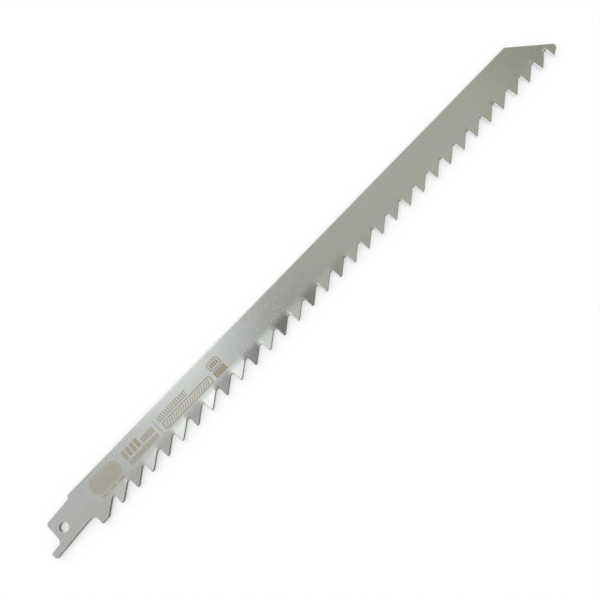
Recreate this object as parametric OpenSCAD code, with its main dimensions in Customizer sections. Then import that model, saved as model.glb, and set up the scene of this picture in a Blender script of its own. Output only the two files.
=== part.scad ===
// Reciprocating saw blade for green wood: one flat strip of steel with a notched tang at one end,
// a sloped nose at the other and a row of ground teeth that are bent left and right by turns.
// Millimetres. The origin is on the axis of the tang hole, halfway through the thickness.
// X runs along the blade from the tang to the nose, Y from the teeth to the back edge, Z out of a face.

/* [Blade] */
// Overall length, from the end of the prong to the end of the nose
overall_length = 300; // [200:1:360]
// Width, from the back edge to the tooth tips
blade_width = 19; // [17:0.5:25]
// Thickness of the strip
blade_thickness = 1.5; // [1.1:0.05:2]
// Radius along the long back edge
back_edge_r = 0.5; // [0.1:0.05:0.7]

/* [Teeth] */
// Wanted distance from tip to tip; the true pitch divides the toothed length evenly
wanted_pitch = 8.47; // [6.5:0.01:10]
// Height of a tooth, from its tip to the top of the gullet
tooth_height = 4.65; // [3.5:0.05:5]
// Length of the narrow ground land behind a tip
tooth_land = 1; // [0.6:0.1:1.5]
// Angle by which the land rises behind its tip, in degrees
land_clearance = 4; // [0:0.5:8]
// Radius at the root of a gullet
gullet_r = 1.1; // [0.8:0.05:1.5]
// Distance by which the tip of a set tooth stands out of the strip's own plane
tooth_set = 0.3; // [0.1:0.05:0.5]
// Extra length of the first tooth, next to the tang
first_tooth_extra = 2.6; // [0:0.1:4]

/* [Tang] */
// Width of the tang across its two long edges
tang_width = 12.7; // [12:0.1:13]
// Slope of the tang against the back edge, in degrees
tang_slope = 4.5; // [2:0.5:6]
// Diameter of the hole
hole_d = 4; // [3:0.1:5]
// Distance from the hole's centre to the back edge
hole_to_back = 8.7; // [8.5:0.1:9]
// Distance from the hole's centre to the tang's upper edge
hole_to_tang_top = 6.5; // [6:0.1:6.8]
// Distance from the hole's centre to the end of the tang above the prong
hole_to_tang_end = 4.6; // [4:0.1:6]
// Distance from the hole's centre to the end of the prong
hole_to_prong_end = 10.4; // [9.5:0.1:12]
// Height of the prong
prong_height = 3.1; // [2.6:0.1:3.5]
// Distance from the hole's centre to the foot of the sloped shoulder on the back edge
hole_to_shoulder = 8.3; // [7:0.1:9]
// Run of the shoulder along the blade
shoulder_run = 1.1; // [0.5:0.1:2]
// Distance from the hole's centre to the first tooth tip
hole_to_first_tip = 12; // [11.5:0.1:15]

/* [Tang corners] */
// Radius in the notch between the end of the tang and the prong
notch_r = 2; // [1:0.1:2.2]
// Radius in the throat between the tang and the first tooth
throat_r = 2.5; // [1:0.1:3]
// Radius of the tang's upper corner
tang_corner_r = 1.2; // [0.5:0.1:1.5]
// Radius of the prong's upper corner
prong_upper_r = 0.3; // [0.2:0.05:0.8]
// Radius of the prong's lower corner
prong_lower_r = 0.9; // [0.5:0.1:1.2]

/* [Nose] */
// Distance from the last tooth tip to the end of the nose
nose_overhang = 4; // [3.5:0.1:5]
// Slope of the nose's long edge against the back edge, in degrees
nose_slope = 44; // [40:0.5:50]
// Slope of the last tooth's back against the row of tips, in degrees
last_flank_slope = 30; // [28:1:36]
// Radius of the nose's end
nose_r = 1.6; // [0.8:0.1:1.8]

/* [Hidden] */
$fn = 64;

// How far a cutting shape reaches past the steel
cut_margin = 1;

// Straight steps in each rounded corner of the outline
arc_steps = 12;

// The row of teeth
back_y = hole_to_back;
tip_y = back_y - blade_width;
gullet_y = tip_y + tooth_height;
nose_end_x = overall_length - hole_to_prong_end;
last_tip_x = nose_end_x - nose_overhang;
toothed_length = last_tip_x - hole_to_first_tip - first_tooth_extra;
gap_count = round(toothed_length / wanted_pitch);
pitch = toothed_length / gap_count;

// A tooth's back runs from the end of its land as a tangent to the root of the next gullet
land_rise = tooth_land * tan(land_clearance);
root_run = pitch - tooth_land - gullet_r;
root_rise = tooth_height - gullet_r - land_rise;
flank_slope = atan2(root_rise, root_run) + asin(gullet_r / norm([root_run, root_rise]));

// The teeth bend along a line just under the tops of the gullets
bend_drop = 0.2;
bend_y = gullet_y - bend_drop;
set_slope = tooth_set / (bend_y - tip_y);

// The blank reaches below the tips, so that each tip is where a land and a rake face cross
blank_low_y = tip_y - cut_margin;
cut_low_y = blank_low_y - cut_margin;

// The nose's round end touches the last tooth's back and the sloped edge
nose_center = [nose_end_x - nose_r,
               tip_y + (nose_overhang - nose_r) * tan(last_flank_slope) + nose_r / cos(last_flank_slope)];
nose_upper = nose_center + nose_r * direction(90 - nose_slope);
nose_back_x = nose_upper[0] - (back_y - nose_upper[1]) / tan(nose_slope);

// Heights of the tang's sloped edges at a distance x from the hole
function tang_top(x) = hole_to_tang_top / cos(tang_slope) + x * tan(tang_slope);
function tang_bottom(x) = tang_top(x) - tang_width / cos(tang_slope);
function prong_top(x) = tang_bottom(x) + prong_height / cos(tang_slope);

// Place of a tooth's tip, and the distance from it to the next tip; the first tooth is number 0
function tip_x(i) = hole_to_first_tip + (i == 0 ? 0 : first_tooth_extra + i * pitch);
function tip_gap(i) = pitch + (i == 0 ? first_tooth_extra : 0);

// Side to which a tooth is set: the first stands straight, then up and down by turns
function set_side(i) = i == 0 ? 0 : (i % 2 == 1 ? 1 : -1);

// Where the part of the strip that bends with tooth i begins: in the gullet before it
function seam_x(i) = i > gap_count ? nose_end_x : tip_x(i) - gullet_r;

function direction(angle) = [cos(angle), sin(angle)];

// Points along an arc between two angles
function arc(center, r, from, to) =
    [for (k = [0 : arc_steps]) center + r * direction(from + (to - from) * k / arc_steps)];

// The arc that rounds a corner, whose two edges leave it at the angles first and last
function rounded(corner, first, last, r) =
    let (turn = sign(last - first))
    let (center = corner + r / sin(abs(last - first) / 2) * direction((first + last) / 2))
    arc(center, r, first - turn * 90, last - turn * 270);

// The blade's outline before the gullets are cut
module blank_outline() {
    tang_end = -hole_to_tang_end;
    prong_end = -hole_to_prong_end;
    back_of_tang = 180 + tang_slope;
    prong_lower = rounded([prong_end, tang_bottom(prong_end)], tang_slope, 90, prong_lower_r);
    prong_upper = rounded([prong_end, prong_top(prong_end)], -90, tang_slope, prong_upper_r);
    notch = rounded([tang_end, prong_top(tang_end)], back_of_tang, 90, notch_r);
    tang_corner = rounded([tang_end, tang_top(tang_end)], -90, tang_slope, tang_corner_r);
    shoulder = [
        [hole_to_shoulder, tang_top(hole_to_shoulder)],
        [hole_to_shoulder + shoulder_run, back_y]
    ];
    nose_back = [[nose_back_x, back_y]];
    nose = arc(nose_center, nose_r, 90 - nose_slope, last_flank_slope - 90);
    low_edge = [
        [last_tip_x - cut_margin / tan(last_flank_slope), blank_low_y],
        [hole_to_first_tip, blank_low_y]
    ];
    throat = rounded([hole_to_first_tip, tang_bottom(hole_to_first_tip)], 270, back_of_tang, throat_r);
    tang = concat(throat, prong_lower, prong_upper, notch, tang_corner);
    polygon(concat(tang, shoulder, nose_back, nose, low_edge));
}

// The empty space between tooth i and the next tooth, from the root of the gullet down past the tips.
// It follows the land of tooth i beyond its tip, and the rake face of the next tooth below its tip.
module gullet(i) {
    root = [-gullet_r, tooth_height - gullet_r];
    tip = [-tip_gap(i), 0];
    land_end = [-pitch + tooth_land, land_rise];
    past_tip = 2 * tip - land_end;
    low = cut_low_y - tip_y;
    translate([tip_x(i + 1), tip_y]) {
        polygon([
            [0, low],
            [0, root[1]],
            root,
            root + gullet_r * direction(90 + flank_slope),
            land_end,
            past_tip,
            [past_tip[0], low]
        ]);
        translate(root) circle(r = gullet_r);
    }
}

// The steel that stays in the strip's own plane: all above the bend line, and the first tooth
module flat_strip() {
    linear_extrude(height = blade_thickness, center = true)
        difference() {
            blank_outline();
            for (i = [0 : gap_count - 1]) gullet(i);
            translate([seam_x(1), cut_low_y]) square([overall_length, bend_y - cut_low_y]);
        }
}

// The two slivers that round the back edge
module back_edge_rounding() {
    center_z = blade_thickness / 2 - back_edge_r;
    reach = back_edge_r + cut_margin;
    rotate([90, 0, 90])
        linear_extrude(height = overall_length)
            for (side = [-1, 1])
                translate([back_y - back_edge_r, side * center_z])
                    difference() {
                        translate([0, side > 0 ? 0 : -reach]) square(reach);
                        circle(r = back_edge_r);
                    }
}

// The part of tooth i below the bend line, leaning to its side by a straight bend
module set_tooth(i) {
    low_z = set_side(i) * set_slope * (bend_y - cut_low_y);
    half = blade_thickness / 2;
    run = seam_x(i + 1) - seam_x(i);
    intersection() {
        linear_extrude(height = blade_thickness + 2 * tooth_set + cut_margin, center = true)
            difference() {
                intersection() {
                    translate([seam_x(i), cut_low_y]) square([run, bend_y - cut_low_y]);
                    blank_outline();
                }
                gullet(i - 1);
                if (i < gap_count) gullet(i);
            }
        translate([seam_x(i), 0, 0])
            rotate([90, 0, 90])
                linear_extrude(height = run)
                    polygon([
                        [bend_y, -half],
                        [bend_y, half],
                        [cut_low_y, low_z + half],
                        [cut_low_y, low_z - half]
                    ]);
    }
}

module blade() {
    color([0.70, 0.70, 0.67])
        difference() {
            union() {
                difference() {
                    flat_strip();
                    back_edge_rounding();
                }
                for (i = [1 : gap_count]) set_tooth(i);
            }
            cylinder(d = hole_d, h = blade_thickness + 2 * cut_margin, center = true);
        }
}

blade();
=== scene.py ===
# The looks of a reciprocating saw blade that lies on a pale floor: satin steel, ground teeth
# and plain marks etched into one face. Everything is in metres, in the part's own frame:
# X from the tang to the nose, Y from the teeth to the back edge, Z out of the marked face.
import math

import bmesh
import bpy
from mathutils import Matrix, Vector


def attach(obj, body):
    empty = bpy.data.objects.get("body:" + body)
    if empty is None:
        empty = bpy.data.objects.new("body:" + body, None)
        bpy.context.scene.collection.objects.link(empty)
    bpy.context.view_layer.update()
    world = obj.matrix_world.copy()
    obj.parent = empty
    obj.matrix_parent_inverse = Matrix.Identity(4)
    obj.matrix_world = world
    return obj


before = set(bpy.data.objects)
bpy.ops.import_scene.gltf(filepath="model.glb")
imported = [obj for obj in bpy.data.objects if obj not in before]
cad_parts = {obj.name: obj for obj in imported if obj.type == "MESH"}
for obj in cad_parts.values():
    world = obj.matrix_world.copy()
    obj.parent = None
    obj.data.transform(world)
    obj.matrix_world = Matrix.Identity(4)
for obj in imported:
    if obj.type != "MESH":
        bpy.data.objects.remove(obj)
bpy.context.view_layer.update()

MM = 0.001
SCENE = bpy.context.scene

# Sizes of the blade that the looks refer to, in millimetres
FACE_Z = 0.75
BACK_FLAT_Y = 8.2
LOW_TIP = (-10.3, -1.05)
BEND_Y = -5.85

# The row of set teeth: distance from tip to tip, where the wave of their set starts, and their slope
PITCH = 8.469
WAVE_START = 22.2
SET_SLOPE = 0.067
BEND_REACH = 3.3

# Rounding of the corners, and depth of the grain, as far as the light shows them
EDGE_RADIUS = 0.42
GRAIN_RELIEF = 0.0010

# The cut edges that face this way carry a painted dark reflection along the marked face, and painted shade on their
# walls
DARK_REFLECTION_SIDE = (0.6, -0.8, 0.0)
DARK_REFLECTION_WIDTH = 0.78

# Half the length of the floor, in metres
FLOOR_HALF = 4.0

# Camera: pose in the part's frame, focal length in pixels of the 600-pixel frame, and how far
# the lens axis lies from the middle of the frame, right and down, since the photograph is cropped
CAMERA_MM = (110.17, -68.49, 250.67)
CAMERA_DEG = (10.628, -4.698, -46.236)
FOCAL_PX = 620
AXIS_PX = (28.7, 27.9)
FRAME_PX = 600
SENSOR_MM = 36


# ---------------------------------------------------------------- camera

def make_camera():
    data = bpy.data.cameras.new("camera")
    data.sensor_width = SENSOR_MM
    data.lens = SENSOR_MM * FOCAL_PX / FRAME_PX
    data.shift_x = -AXIS_PX[0] / FRAME_PX
    data.shift_y = AXIS_PX[1] / FRAME_PX
    data.clip_start = 0.01
    camera = bpy.data.objects.new("camera", data)
    SCENE.collection.objects.link(camera)
    camera.location = Vector(CAMERA_MM) * MM
    camera.rotation_mode = "ZYX"
    camera.rotation_euler = [math.radians(a) for a in CAMERA_DEG]
    SCENE.camera = camera


# ---------------------------------------------------------------- materials

def new_material(name):
    material = bpy.data.materials.new(name)
    material.use_nodes = True
    nodes, links = material.node_tree.nodes, material.node_tree.links
    nodes.clear()
    return material, nodes, links


def shader_of(nodes, links):
    shader = nodes.new("ShaderNodeBsdfPrincipled")
    output = nodes.new("ShaderNodeOutputMaterial")
    links.new(shader.outputs["BSDF"], output.inputs["Surface"])
    return shader


def noise(nodes, links, coordinates, scale, detail=3.0, roughness=0.6):
    """A noise whose features are about 1/scale metres long on each axis."""
    mapping = nodes.new("ShaderNodeMapping")
    mapping.inputs["Scale"].default_value = scale
    links.new(coordinates, mapping.inputs["Vector"])
    texture = nodes.new("ShaderNodeTexNoise")
    texture.inputs["Scale"].default_value = 1.0
    texture.inputs["Detail"].default_value = detail
    texture.inputs["Roughness"].default_value = roughness
    links.new(mapping.outputs["Vector"], texture.inputs["Vector"])
    return texture.outputs["Fac"]


def spread(nodes, links, value, low, high, start=0.3, end=0.7):
    """Maps a value from the range start..end to low..high."""
    node = nodes.new("ShaderNodeMapRange")
    node.inputs["From Min"].default_value = start
    node.inputs["From Max"].default_value = end
    node.inputs["To Min"].default_value = low
    node.inputs["To Max"].default_value = high
    links.new(value, node.inputs["Value"])
    return node.outputs["Result"]


def maths(nodes, links, operation, a, b=0.0):
    """One step of arithmetic. Steps on a single value leave b out."""
    node = nodes.new("ShaderNodeMath")
    node.operation = operation
    for socket, value in zip(node.inputs, (a, b)):
        if isinstance(value, (int, float)):
            socket.default_value = value
        else:
            links.new(value, socket)
    return node.outputs["Value"]


def blend_colors(nodes, links, factor, a, b):
    node = nodes.new("ShaderNodeMix")
    node.data_type = "RGBA"
    links.new(factor, node.inputs["Factor"])
    for socket, value in ((node.inputs["A"], a), (node.inputs["B"], b)):
        if isinstance(value, tuple):
            socket.default_value = (*value, 1.0)
        else:
            links.new(value, socket)
    return node.outputs["Result"]


def product(nodes, links, *factors):
    result = factors[0]
    for factor in factors[1:]:
        result = maths(nodes, links, "MULTIPLY", result, factor)
    return result


def dot(nodes, links, a, b):
    node = nodes.new("ShaderNodeVectorMath")
    node.operation = "DOT_PRODUCT"
    for socket, value in zip(node.inputs, (a, b)):
        if isinstance(value, tuple):
            socket.default_value = value
        else:
            links.new(value, socket)
    return node.outputs["Value"]


def set_wave(nodes, links, x):
    """1 on the teeth set up, -1 on those set down, with a short change between them."""
    phase = product(nodes, links, maths(nodes, links, "SUBTRACT", x, WAVE_START * MM), math.pi / (PITCH * MM))
    wave = product(nodes, links, maths(nodes, links, "SINE", phase), 2.5)
    wave = maths(nodes, links, "MAXIMUM", maths(nodes, links, "MINIMUM", wave, 1.0), -1.0)
    return product(nodes, links, wave, maths(nodes, links, "GREATER_THAN", x, WAVE_START * MM))


def below(nodes, links, y, start, reach):
    """Distance below a line across the blade, from 0 up to the reach, both in millimetres."""
    depth = maths(nodes, links, "SUBTRACT", start * MM, y)
    return maths(nodes, links, "MAXIMUM", maths(nodes, links, "MINIMUM", depth, reach * MM), 0.0)


def steel_material():
    """Satin steel: grain on the faces, rough pale cut edges, painted shade on the edges that face one side, and a
    painted dark reflection along them.
    """
    material, nodes, links = new_material("blade_steel")
    shader = shader_of(nodes, links)
    shader.inputs["Metallic"].default_value = 1.0
    coords = nodes.new("ShaderNodeTexCoord").outputs["Object"]
    place = nodes.new("ShaderNodeSeparateXYZ")
    links.new(coords, place.inputs["Vector"])
    x, y, z = (place.outputs[axis] for axis in "XYZ")

    along = noise(nodes, links, coords, (900, 3600, 900), 3.0, 0.6)
    across = noise(nodes, links, coords, (3600, 800, 900), 3.0, 0.6)
    cloud = noise(nodes, links, coords, (22, 70, 60), 2.0, 0.5)
    specks = noise(nodes, links, coords, (2000, 2000, 900), 1.0, 0.5)
    streaks = noise(nodes, links, coords, (3600, 3600, 500), 3.0, 0.6)
    grain = product(nodes, links, maths(nodes, links, "ADD", along, across), 0.5)

    true_normal = nodes.new("ShaderNodeNewGeometry").outputs["True Normal"]
    normal = nodes.new("ShaderNodeSeparateXYZ")
    links.new(true_normal, normal.inputs["Vector"])
    on_wall = spread(nodes, links, maths(nodes, links, "ABSOLUTE", normal.outputs["Z"]),
                     1.0, 0.0, 0.25, 0.6)
    facing_dark_side = dot(nodes, links, true_normal, DARK_REFLECTION_SIDE)

    round_off = nodes.new("ShaderNodeBevel")
    round_off.samples = 8
    round_off.inputs["Radius"].default_value = EDGE_RADIUS * MM

    wave = set_wave(nodes, links, x)
    lift = product(nodes, links, wave, below(nodes, links, y, BEND_Y, 4.5), SET_SLOPE)
    level = maths(nodes, links, "SUBTRACT", z, lift)
    # Painted dark reflection: a near-black band on the upper part of the cut edges and rounded corners that face one
    # side
    rim = spread(nodes, links, level, 0.0, 1.0,
                 (FACE_Z - DARK_REFLECTION_WIDTH - 0.1) * MM, (FACE_Z - DARK_REFLECTION_WIDTH + 0.1) * MM)
    wall_side = spread(nodes, links, facing_dark_side, 0.0, 1.0, 0.62, 0.82)
    corner_side = spread(nodes, links, dot(nodes, links, round_off.outputs["Normal"], DARK_REFLECTION_SIDE), 0.0, 1.0, 0.16, 0.36)
    painted_dark_reflection = product(nodes, links, maths(nodes, links, "MAXIMUM", product(nodes, links, wall_side, on_wall), corner_side),
                   rim, spread(nodes, links, streaks, 0.75, 1.0))

    fine = spread(nodes, links, grain, 0.0, 1.0, 0.36, 0.64)
    face = blend_colors(nodes, links, fine, (0.510, 0.517, 0.483), (0.590, 0.597, 0.557))
    warm = blend_colors(nodes, links, spread(nodes, links, cloud, 0.0, 0.6), face, (0.545, 0.540, 0.485))
    # Lighter specks, only in the middle stretch of the blade: painted glints
    sparkle = product(nodes, links, spread(nodes, links, specks, 0.0, 0.6, 0.58, 0.78),
                      spread(nodes, links, x, 0.35, 1.0, 70 * MM, 95 * MM),
                      spread(nodes, links, x, 1.0, 0.2, 125 * MM, 155 * MM))
    speckled = blend_colors(nodes, links, sparkle, warm, (0.80, 0.81, 0.80))
    # Painted shade: walls that face the dark side are painted darker, the most towards the tang, the least past 95 mm
    painted_wall_shade_ramp = spread(nodes, links, x, 0.0, 1.0, 20 * MM, 95 * MM)
    wall_dark = blend_colors(nodes, links, painted_wall_shade_ramp, (0.36, 0.36, 0.35), (0.74, 0.74, 0.73))
    wall_light = blend_colors(nodes, links, painted_wall_shade_ramp, (0.56, 0.56, 0.55), (0.97, 0.97, 0.96))
    rough_wall = blend_colors(nodes, links, spread(nodes, links, streaks, 0.0, 1.0), wall_dark, wall_light)
    toward_dark_side = spread(nodes, links, facing_dark_side, 0.0, 1.0, 0.3, 0.62)
    wall = blend_colors(nodes, links, toward_dark_side, (0.93, 0.93, 0.92), rough_wall)
    steel = blend_colors(nodes, links, on_wall, speckled, wall)
    # The near-black colour here is the painted dark reflection laid over the steel
    links.new(blend_colors(nodes, links, painted_dark_reflection, steel, (0.025, 0.025, 0.025)), shader.inputs["Base Color"])

    face_rough = spread(nodes, links, grain, 0.13, 0.21, 0.36, 0.64)
    wall_rough = maths(nodes, links, "ADD", spread(nodes, links, streaks, 0.12, 0.18),
                       product(nodes, links, toward_dark_side, 0.22))
    step = maths(nodes, links, "SUBTRACT", wall_rough, face_rough)
    links.new(maths(nodes, links, "ADD", face_rough, product(nodes, links, step, on_wall)), shader.inputs["Roughness"])

    # The bend of the teeth starts softly above the gullets: a parabola up to the bend line
    depth = below(nodes, links, y, BEND_Y + BEND_REACH, BEND_REACH)
    swell = product(nodes, links, depth, depth, SET_SLOPE / (2 * BEND_REACH * MM), wave, normal.outputs["Z"])
    height = maths(nodes, links, "ADD", product(nodes, links, grain, GRAIN_RELIEF * MM), swell)
    bump = nodes.new("ShaderNodeBump")
    bump.inputs["Strength"].default_value = 1.0
    bump.inputs["Distance"].default_value = 1.0
    links.new(height, bump.inputs["Height"])
    links.new(round_off.outputs["Normal"], bump.inputs["Normal"])
    links.new(bump.outputs["Normal"], shader.inputs["Normal"])
    return material


def etched_material(name, dark, light):
    """The oxide left by marking: brownish, patchy and duller than the steel round it."""
    material, nodes, links = new_material(name)
    shader = shader_of(nodes, links)
    shader.inputs["Metallic"].default_value = 0.35
    coords = nodes.new("ShaderNodeTexCoord").outputs["Object"]
    patches = noise(nodes, links, coords, (2400, 2800, 1500), 3.0, 0.6)
    links.new(blend_colors(nodes, links, spread(nodes, links, patches, 0.0, 1.0), dark, light),
              shader.inputs["Base Color"])
    links.new(spread(nodes, links, patches, 0.42, 0.58), shader.inputs["Roughness"])
    return material


# ---------------------------------------------------------------- etched marks

MARK_RISE = 0.008
MARK_DEPTH = 0.02


def rounded_rectangle(x0, x1, y0, y1, r, steps=5):
    """Corners of a rectangle in millimetres, anticlockwise, each rounded with a few points."""
    r = min(r, (x1 - x0) / 2, (y1 - y0) / 2)
    points = []
    for cx, cy, start in ((x1 - r, y1 - r, 0), (x0 + r, y1 - r, 90), (x0 + r, y0 + r, 180), (x1 - r, y0 + r, 270)):
        for k in range(steps + 1):
            angle = math.radians(start + 90 * k / steps)
            points.append((cx + r * math.cos(angle), cy + r * math.sin(angle)))
    return points


def add_prism(mesh, outline):
    """A closed, flat plate that stands a hair out of the face and is sunk into it."""
    low = [mesh.verts.new((x * MM, y * MM, (FACE_Z - MARK_DEPTH) * MM)) for x, y in outline]
    top = [mesh.verts.new((x * MM, y * MM, (FACE_Z + MARK_RISE) * MM)) for x, y in outline]
    mesh.faces.new(top)
    mesh.faces.new(low[::-1])
    for k in range(len(outline)):
        n = (k + 1) % len(outline)
        mesh.faces.new((low[k], low[n], top[n], top[k]))


def add_ring(mesh, x0, x1, y0, y1, r, line):
    """A closed frame of the given line width."""
    outer = rounded_rectangle(x0, x1, y0, y1, r)
    inner = rounded_rectangle(x0 + line, x1 - line, y0 + line, y1 - line, max(r - line, 0.05))
    rows = []
    for outline in (outer, inner):
        for z in (FACE_Z - MARK_DEPTH, FACE_Z + MARK_RISE):
            rows.append([mesh.verts.new((x * MM, y * MM, z * MM)) for x, y in outline])
    outer_low, outer_top, inner_low, inner_top = rows
    for k in range(len(outer)):
        n = (k + 1) % len(outer)
        mesh.faces.new((outer_low[k], outer_low[n], outer_top[n], outer_top[k]))
        mesh.faces.new((inner_low[n], inner_low[k], inner_top[k], inner_top[n]))
        mesh.faces.new((outer_top[k], outer_top[n], inner_top[n], inner_top[k]))
        mesh.faces.new((outer_low[n], outer_low[k], inner_low[k], inner_low[n]))


def add_hatch(mesh, x0, x1, y0, y1, line, pitch, slant):
    """Slanting bars that fill a box and are cut square at its top and bottom."""
    lean = (y1 - y0) * slant
    x = x0
    while x + line + lean <= x1 + 1e-9:
        add_prism(mesh, [(x, y0), (x + line, y0), (x + line + lean, y1), (x + lean, y1)])
        x += pitch


def add_row(mesh, x0, x1, y0, y1, count, fill, r):
    """A row of equal blocks with even gaps; fill is each block's share of its place."""
    place = (x1 - x0) / count
    for k in range(count):
        left = x0 + k * place
        add_prism(mesh, rounded_rectangle(left, left + place * fill, y0, y1, r, 3))


def make_mark(name, material, draw):
    mesh = bmesh.new()
    draw(mesh)
    data = bpy.data.meshes.new(name)
    mesh.to_mesh(data)
    mesh.free()
    data.materials.append(material)
    piece = bpy.data.objects.new(name, data)
    SCENE.collection.objects.link(piece)
    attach(piece, "root")
    return piece


def make_marks():
    tan = etched_material("etched_tan", (0.36, 0.33, 0.24), (0.50, 0.46, 0.36))
    brown = etched_material("etched_brown", (0.30, 0.235, 0.13), (0.44, 0.36, 0.22))
    grey = etched_material("etched_grey", (0.26, 0.27, 0.27), (0.36, 0.37, 0.37))

    def field(mesh):
        add_ring(mesh, 17.0, 32.5, -1.8, 5.9, 3.8, 0.38)
        for k in range(9):
            y = -1.18 + 0.72 * k
            inset = 3.45 - math.sqrt(max(3.45 ** 2 - (y + 0.22 - 2.05) ** 2, 0.0))
            add_prism(mesh, rounded_rectangle(17.6 + inset, 31.9 - inset, y, y + 0.5, 0.1, 2))
        add_row(mesh, 18.8, 31.6, -3.5, -2.5, 3, 0.86, 0.4)

    def bars(mesh):
        add_row(mesh, 35.5, 44.9, 0.7, 4.9, 4, 0.70, 0.5)
        add_row(mesh, 45.4, 52.0, 0.7, 3.4, 8, 0.68, 0.1)
        add_row(mesh, 35.9, 52.0, -2.4, -0.1, 18, 0.74, 0.1)

    def scale(mesh):
        add_row(mesh, 55.6, 72.0, 2.75, 4.5, 14, 0.50, 0.1)
        add_prism(mesh, rounded_rectangle(55.6, 71.4, 1.9, 2.45, 0.1))

    def band(mesh):
        add_ring(mesh, 55.9, 82.8, -2.55, 1.15, 0.7, 0.36)
        add_hatch(mesh, 56.7, 82.0, -1.85, 0.45, 0.36, 1.3, 0.6)

    def badge(mesh):
        add_ring(mesh, 84.6, 90.7, 0.85, 5.0, 1.0, 0.4)
        add_row(mesh, 85.6, 90.0, 1.9, 3.95, 4, 0.72, 0.1)
        add_row(mesh, 84.7, 90.9, -2.7, 0.4, 6, 0.80, 0.1)

    def divider(mesh):
        add_prism(mesh, rounded_rectangle(53.55, 53.8, -2.85, 5.05, 0.1, 2))

    make_mark("mark_striped_field", tan, field)
    make_mark("mark_bars", tan, bars)
    make_mark("mark_tick_row", tan, scale)
    make_mark("mark_hatched_band", brown, band)
    make_mark("mark_small_box", brown, badge)
    make_mark("mark_divider", grey, divider)


# ---------------------------------------------------------------- floor and light

FLOOR_GLOW = 0.24
SKY_SIDES = (1.0, 1.0, 1.0)
SKY_LEFT, SKY_RIGHT = (0.665, 0.680, 0.705), (0.668, 0.664, 0.622)

# Soft spots overhead: centre, radii and added light of the softbox, the dark camera, its arm,
# a glow past the tang and a shade past the nose
SKY_SPOTS = (
    ((-0.140, 0.506), (0.10, 0.130), (1.70, 1.78, 1.88)),
    ((0.045, 0.093), (0.078, 0.10), (-0.52, -0.53, -0.51)),
    ((0.02, 0.293), (0.055, 0.10), (-0.085, -0.085, -0.085)),
    ((-0.47, 0.32), (0.06, 0.20), (0.15, 0.15, 0.15)),
    ((0.72, 0.32), (0.06, 0.30), (-0.33, -0.34, -0.36)),
)


def make_floor():
    """A floor on which the blade rests on its lower tips and its back edge."""
    low_y, low_z = LOW_TIP
    slope = (-FACE_Z - low_z) / (BACK_FLAT_Y - low_y)
    height = -FACE_Z * MM - BACK_FLAT_Y * MM * slope
    corners = [(x, y, height + y * slope) for x, y in (
        (-FLOOR_HALF, -FLOOR_HALF), (FLOOR_HALF, -FLOOR_HALF), (FLOOR_HALF, FLOOR_HALF), (-FLOOR_HALF, FLOOR_HALF))]
    data = bpy.data.meshes.new("floor")
    data.from_pydata(corners, [], [(0, 1, 2, 3)])
    floor = bpy.data.objects.new("floor", data)
    SCENE.collection.objects.link(floor)

    material, nodes, links = new_material("floor_white")
    diffuse = nodes.new("ShaderNodeBsdfDiffuse")
    diffuse.inputs["Color"].default_value = (0.90, 0.90, 0.90, 1.0)
    glow = nodes.new("ShaderNodeEmission")
    path = nodes.new("ShaderNodeLightPath")
    seen = maths(nodes, links, "MAXIMUM", path.outputs["Is Camera Ray"],
                 maths(nodes, links, "MAXIMUM", path.outputs["Is Glossy Ray"], path.outputs["Is Transmission Ray"]))
    links.new(maths(nodes, links, "MULTIPLY", seen, FLOOR_GLOW), glow.inputs["Strength"])
    both = nodes.new("ShaderNodeAddShader")
    output = nodes.new("ShaderNodeOutputMaterial")
    links.new(diffuse.outputs["BSDF"], both.inputs[0])
    links.new(glow.outputs["Emission"], both.inputs[1])
    links.new(both.outputs["Shader"], output.inputs["Surface"])
    data.materials.append(material)


def sky_spot(nodes, links, across, center, radii):
    """A soft spot overhead: 1 at its centre, on the plane where a ray's x and y are shared out by its z."""
    squares = []
    for axis in (0, 1):
        off = maths(nodes, links, "SUBTRACT", across[axis], center[axis])
        ratio = maths(nodes, links, "DIVIDE", off, radii[axis])
        squares.append(maths(nodes, links, "MULTIPLY", ratio, ratio))
    total = maths(nodes, links, "ADD", *squares)
    return maths(nodes, links, "EXPONENT", maths(nodes, links, "MULTIPLY", total, -0.5))


def make_world():
    """A studio dome: white round the sides, greyer overhead, with a softbox and a few soft shades."""
    world = bpy.data.worlds.new("studio")
    world.use_nodes = True
    SCENE.world = world
    nodes, links = world.node_tree.nodes, world.node_tree.links
    nodes.clear()
    ray = nodes.new("ShaderNodeTexCoord").outputs["Generated"]
    direction = nodes.new("ShaderNodeSeparateXYZ")
    links.new(ray, direction.inputs["Vector"])
    height = maths(nodes, links, "MAXIMUM", direction.outputs["Z"], 0.05)
    across = [maths(nodes, links, "DIVIDE", direction.outputs[axis], height) for axis in ("X", "Y")]

    overhead = blend_colors(nodes, links, spread(nodes, links, across[0], 0.0, 1.0, -0.1, 0.3), SKY_LEFT, SKY_RIGHT)
    high = spread(nodes, links, direction.outputs["Z"], 0.0, 1.0, 0.66, 0.77)
    color = blend_colors(nodes, links, high, SKY_SIDES, overhead)
    for center, radii, gain in SKY_SPOTS:
        lit = nodes.new("ShaderNodeVectorMath")
        lit.operation = "SCALE"
        lit.inputs[0].default_value = gain
        links.new(sky_spot(nodes, links, across, center, radii), lit.inputs["Scale"])
        total = nodes.new("ShaderNodeVectorMath")
        total.operation = "ADD"
        links.new(color, total.inputs[0])
        links.new(lit.outputs["Vector"], total.inputs[1])
        color = total.outputs["Vector"]
    background = nodes.new("ShaderNodeBackground")
    output = nodes.new("ShaderNodeOutputWorld")
    links.new(color, background.inputs["Color"])
    links.new(background.outputs["Background"], output.inputs["Surface"])


make_camera()
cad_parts["blade"].data.materials.clear()
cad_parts["blade"].data.materials.append(steel_material())
make_marks()
make_floor()
make_world()
SCENE.view_settings.view_transform = "Standard"
